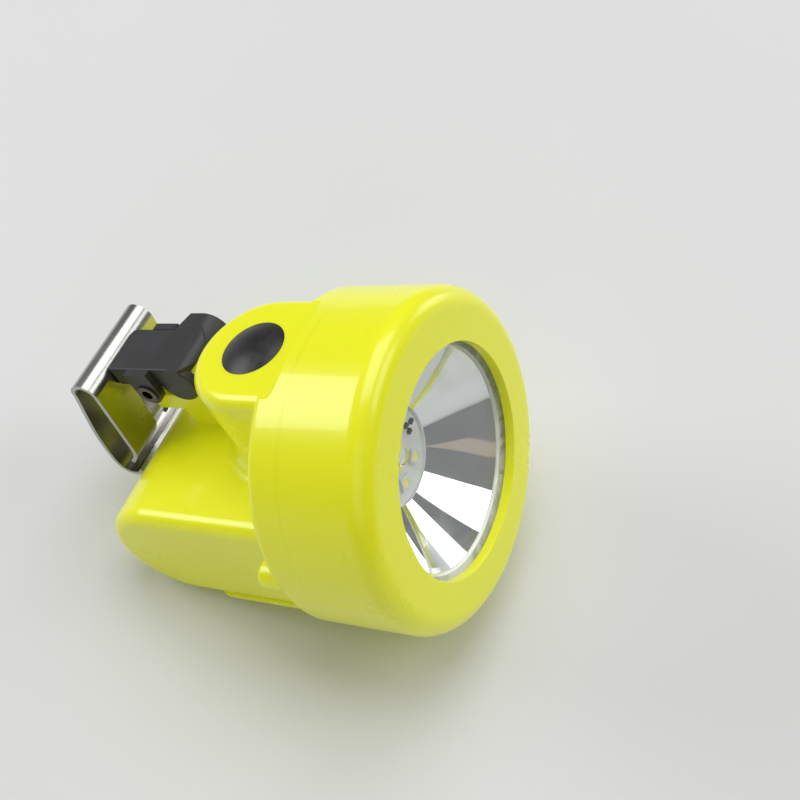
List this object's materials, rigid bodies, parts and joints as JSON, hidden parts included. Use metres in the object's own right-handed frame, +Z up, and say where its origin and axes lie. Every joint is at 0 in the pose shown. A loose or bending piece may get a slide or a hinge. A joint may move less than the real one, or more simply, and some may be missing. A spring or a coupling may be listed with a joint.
{
  "type": "miner's cap lamp",
  "caption": "Cordless miner's cap lamp with a round reflector head, a rounded battery case, a top push button and a hinged hook for a helmet bracket.",
  "frame": {"origin": "centre of the bounding box's base, on the table the lamp lies on", "axes": "+Z up; the beam points toward -Y and 24 degrees upward; +X is the lamp's left, so the lock screw is at -X"},
  "size_m": [0.066, 0.09, 0.0686],
  "materials": {
    "lemon_plastic": "glossy fluorescent lemon-yellow moulding",
    "black_plastic": "fine satin black moulding",
    "black_rubber": "smooth satin rubber",
    "grey_silicone": "matt silicone",
    "clear_lens": "clear polished window",
    "mirror_metal": "bright vacuum-metallised surface",
    "polished_steel": "polished stainless steel",
    "white_board": "white solder mask",
    "phosphor": "yellow phosphor under silicone",
    "green_board": "green solder mask",
    "sink_aluminium": "turned aluminium",
    "cell_can": null,
    "inner_plastic": "natural nylon",
    "lead_wire": "insulated lead",
    "contact_brass": "plated contact"
  },
  "bodies": {
    "lamp": {"battery_cells": "cell_can", "battery_cradle": "inner_plastic", "battery_leads": "lead_wire", "battery_tabs": "polished_steel", "bezel": "lemon_plastic", "bezel_seal": "black_rubber", "board_ring": "polished_steel", "board_screws": "polished_steel", "bottom_cover": "lemon_plastic", "button_guide": "inner_plastic", "charge_jack": "black_plastic", "cover_screws": "polished_steel", "cover_seal": "black_rubber", "driver_board": "green_board", "driver_parts": "black_plastic", "flap_anchor": "lemon_plastic", "heat_sink": "sink_aluminium", "heat_sink_screws": "polished_steel", "hinge_pin": "polished_steel", "hinge_washers": "inner_plastic", "housing": "lemon_plastic", "jack_leads": "lead_wire", "jack_pin": "contact_brass", "led_board": "white_board", "led_board_parts": "black_plastic", "led_leads": "lead_wire", "led_phosphors": "phosphor", "lens": "clear_lens", "lens_gasket": "grey_silicone", "lock_screw": "polished_steel", "main_led": "phosphor", "main_led_dome": "clear_lens", "protection_board": "green_board", "reflector": "mirror_metal", "side_leds": "white_board", "tact_switch": "black_plastic"},
    "hook": {"hook_bracket": "black_plastic", "clip_pin": "polished_steel", "helmet_hook": "polished_steel", "hook_rivets": "polished_steel"},
    "button": {"button_cap": "black_rubber", "button_plunger": "inner_plastic", "switch_stem": "inner_plastic"},
    "dust_flap": {"dust_flap": "lemon_plastic"}
  },
  "joints": [
    {"name": "hook_hinge", "type": "hinge", "parent": "lamp", "child": "hook", "pos_m": [0, 0.02339, 0.04272], "axis": [1, 0, 0], "range_deg": [0, 60]},
    {"name": "button_press", "type": "slide", "parent": "lamp", "child": "button", "axis": [0, -0.4067, -0.9135], "range_m": [0, 0.001], "stiffness_N_per_m": 1500, "springref_m": -0.001},
    {"name": "flap_hinge", "type": "hinge", "parent": "lamp", "child": "dust_flap", "pos_m": [0.0285, -0.00172, 0.0227], "axis": [0, 0.4067, 0.9135], "range_deg": [0, 110]}
  ]
}
